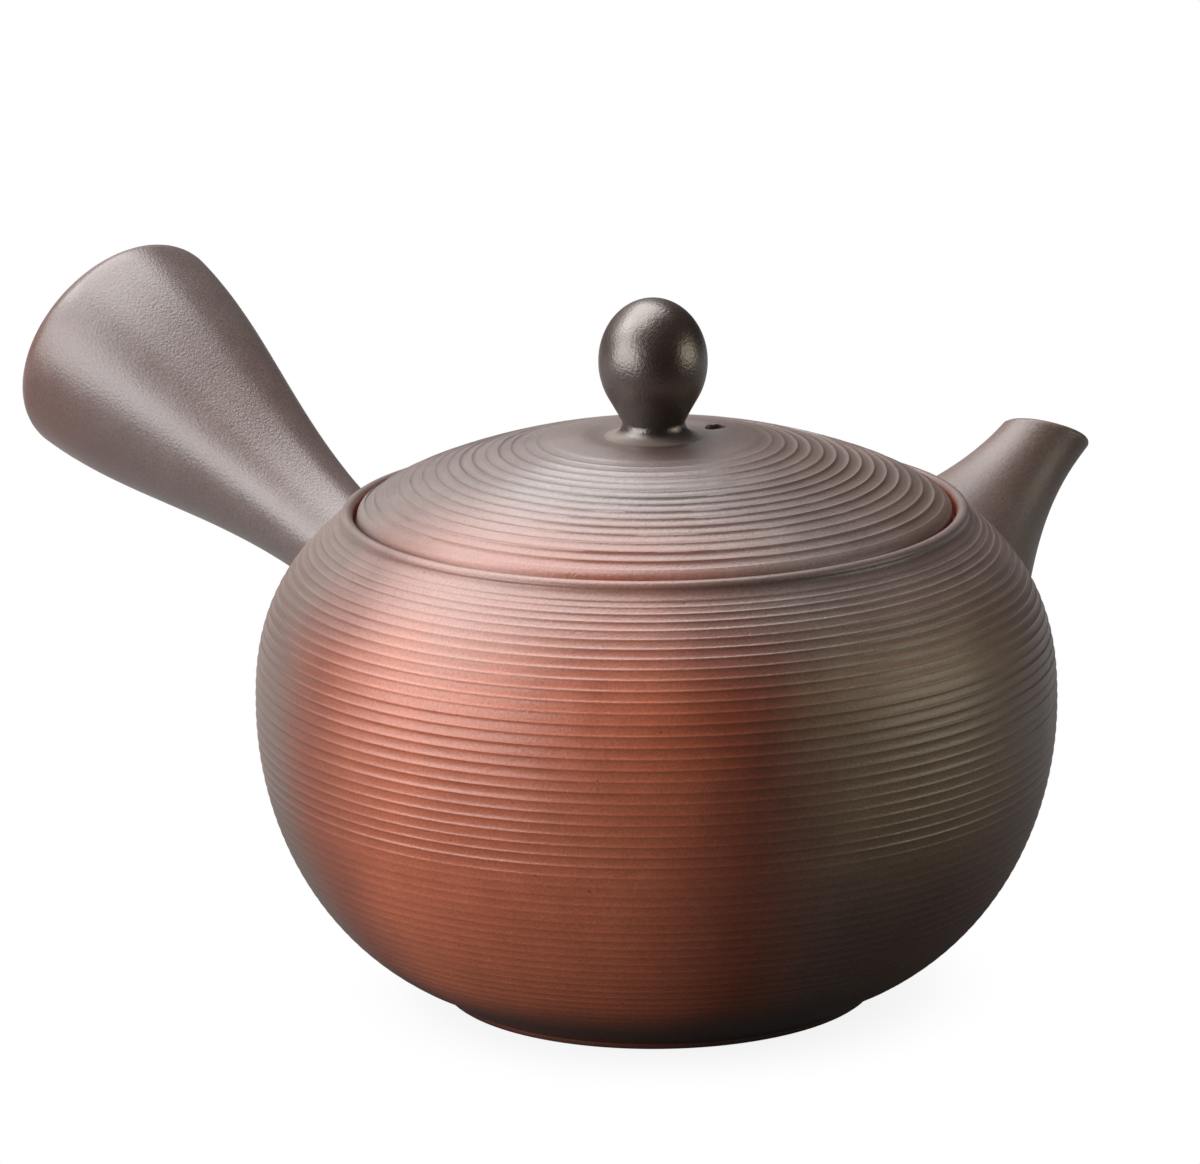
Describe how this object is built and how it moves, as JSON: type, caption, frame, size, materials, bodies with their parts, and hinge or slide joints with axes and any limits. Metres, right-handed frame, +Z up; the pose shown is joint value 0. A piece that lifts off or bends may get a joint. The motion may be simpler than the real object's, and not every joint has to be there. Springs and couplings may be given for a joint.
{
  "type": "side-handled teapot",
  "caption": "Round unglazed stoneware teapot with a combed body, hollow side handle, slanted spout, inner strainer and a loose domed lid with a ball knob.",
  "frame": {"origin": "centre of the flat base that the pot stands on", "axes": "+Z up along the axis that the body was turned about, +X towards the spout, the handle towards +Y"},
  "size_m": [0.1316, 0.1738, 0.0952],
  "materials": {
    "body_clay": "matte",
    "spout_clay": "matte",
    "handle_clay": "matte",
    "strainer_clay": "matte",
    "lid_clay": "matte",
    "knob_clay": "satin"
  },
  "bodies": {
    "pot": {"body": "body_clay", "spout": "spout_clay", "handle": "handle_clay", "strainer": "strainer_clay"},
    "lid": {"lid": "lid_clay", "knob": "knob_clay"}
  },
  "joints": [
    {"name": "lid_lift", "type": "slide", "parent": "pot", "child": "lid", "axis": [0, 0, 1], "range_m": [0, 0.06]}
  ]
}
